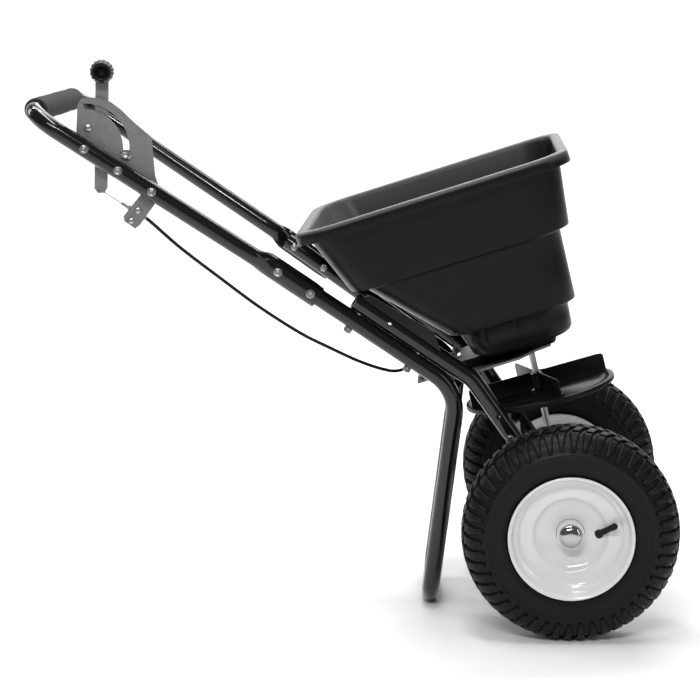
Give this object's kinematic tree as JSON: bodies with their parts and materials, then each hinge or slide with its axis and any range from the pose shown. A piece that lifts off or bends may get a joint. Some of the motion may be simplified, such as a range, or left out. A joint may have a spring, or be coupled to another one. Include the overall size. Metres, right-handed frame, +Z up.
{
  "type": "walk-behind broadcast spreader",
  "caption": "Walk-behind spreader: stepped hopper over a finned spinning disc, pneumatic wheels, bent tube handle with foam grip, ground stand and a flow lever.",
  "frame": {"origin": "on the ground, at the middle of the bounding box in X and Y", "axes": "+X is the travel direction, from the handle towards the wheels; +Y is the machine's left; +Z is up"},
  "size_m": [0.936, 0.521, 0.8252],
  "materials": {
    "black_paint": "gloss black powder coat",
    "grip_foam": "matte closed-cell foam",
    "hopper_plastic": "semi-gloss moulded black",
    "black_plastic": "satin moulded black",
    "galvanised_sheet": "spangled galvanised",
    "zinc_hardware": "bright zinc plate",
    "bare_steel": "satin",
    "white_paint": "gloss white powder coat",
    "cap_chrome": "polished",
    "tyre_rubber": "satin charcoal rubber",
    "valve_rubber": "matte",
    "cable_plastic": "smooth extruded black"
  },
  "bodies": {
    "frame": {"handle_tube": "black_paint", "foam_grip": "grip_foam", "stand_tube": "black_paint", "frame_tube_right": "black_paint", "axle_bushing_right": "bare_steel", "axle_bracket_right": "galvanised_sheet", "axle_bracket_bolt_right": "zinc_hardware", "handle_bolt_1_right": "zinc_hardware", "frame_bolt_1_right": "zinc_hardware", "handle_bolt_2_right": "zinc_hardware", "frame_bolt_2_right": "zinc_hardware", "frame_tube_left": "black_paint", "axle_bushing_left": "bare_steel", "axle_bracket_left": "galvanised_sheet", "axle_bracket_bolt_left": "zinc_hardware", "handle_bolt_1_left": "zinc_hardware", "frame_bolt_1_left": "zinc_hardware", "handle_bolt_2_left": "zinc_hardware", "frame_bolt_2_left": "zinc_hardware", "hopper": "hopper_plastic", "outlet_housing": "black_plastic", "base_plate": "galvanised_sheet", "cable_clamp": "galvanised_sheet", "cradle_bracket_right": "black_paint", "cradle_bracket_left": "black_paint", "gearbox_cover_right": "black_plastic", "gearbox_cover_left": "black_plastic", "gearbox_strap": "galvanised_sheet", "control_plate": "galvanised_sheet", "lever_pivot_bolt": "zinc_hardware", "plate_bolt": "zinc_hardware", "cable_bracket_bolt": "zinc_hardware", "closed_stop_bolt": "zinc_hardware", "rate_stop_bolt": "zinc_hardware", "cable_bracket": "galvanised_sheet", "cable_adjuster": "zinc_hardware", "cable_sheath": "cable_plastic"},
    "drive_axle": {"axle_shaft": "bare_steel", "crown_gear": "bare_steel", "tyre_left": "tyre_rubber", "rim_outer_left": "white_paint", "rim_inner_left": "white_paint", "wheel_hub_left": "white_paint", "hub_cap_left": "cap_chrome", "valve_stem_left": "valve_rubber"},
    "free_wheel": {"tyre_right": "tyre_rubber", "rim_outer_right": "white_paint", "rim_inner_right": "white_paint", "wheel_hub_right": "white_paint", "hub_cap_right": "cap_chrome", "valve_stem_right": "valve_rubber"},
    "spinner": {"impeller": "black_plastic", "impeller_shaft": "bare_steel", "agitator": "bare_steel", "pinion_gear": "bare_steel"},
    "lever": {"flow_lever": "galvanised_sheet", "lever_knob": "black_plastic", "cable_wire": "bare_steel"},
    "gate": {"shutoff_gate": "galvanised_sheet", "gate_wire": "bare_steel"}
  },
  "joints": [
    {"name": "drive_axle_spin", "type": "hinge", "parent": "frame", "child": "drive_axle", "pos_m": [0.313, 0, 0.155], "axis": [0, 1, 0], "continuous": true},
    {"name": "free_wheel_spin", "type": "hinge", "parent": "frame", "child": "free_wheel", "pos_m": [0.313, 0, 0.155], "axis": [0, 1, 0], "continuous": true},
    {"name": "impeller_spin", "type": "hinge", "parent": "frame", "child": "spinner", "pos_m": [0.313, 0, 0.155], "axis": [-0.2233, 0, 0.9748], "continuous": true},
    {"name": "lever_swing", "type": "hinge", "parent": "frame", "child": "lever", "pos_m": [-0.374, -0.18245, 0.7012], "axis": [-0.1054, 0.9944, 0], "range_deg": [0, 55]},
    {"name": "gate_slide", "type": "slide", "parent": "frame", "child": "gate", "axis": [-0.9548, 0, -0.2974], "range_m": [0, 0.046]}
  ],
  "couplings": [
    {"joint": "impeller_spin", "follows": "drive_axle_spin", "ratio": -3},
    {"joint": "gate_slide", "follows": "lever_swing", "m_per_rad": 0.0479}
  ]
}
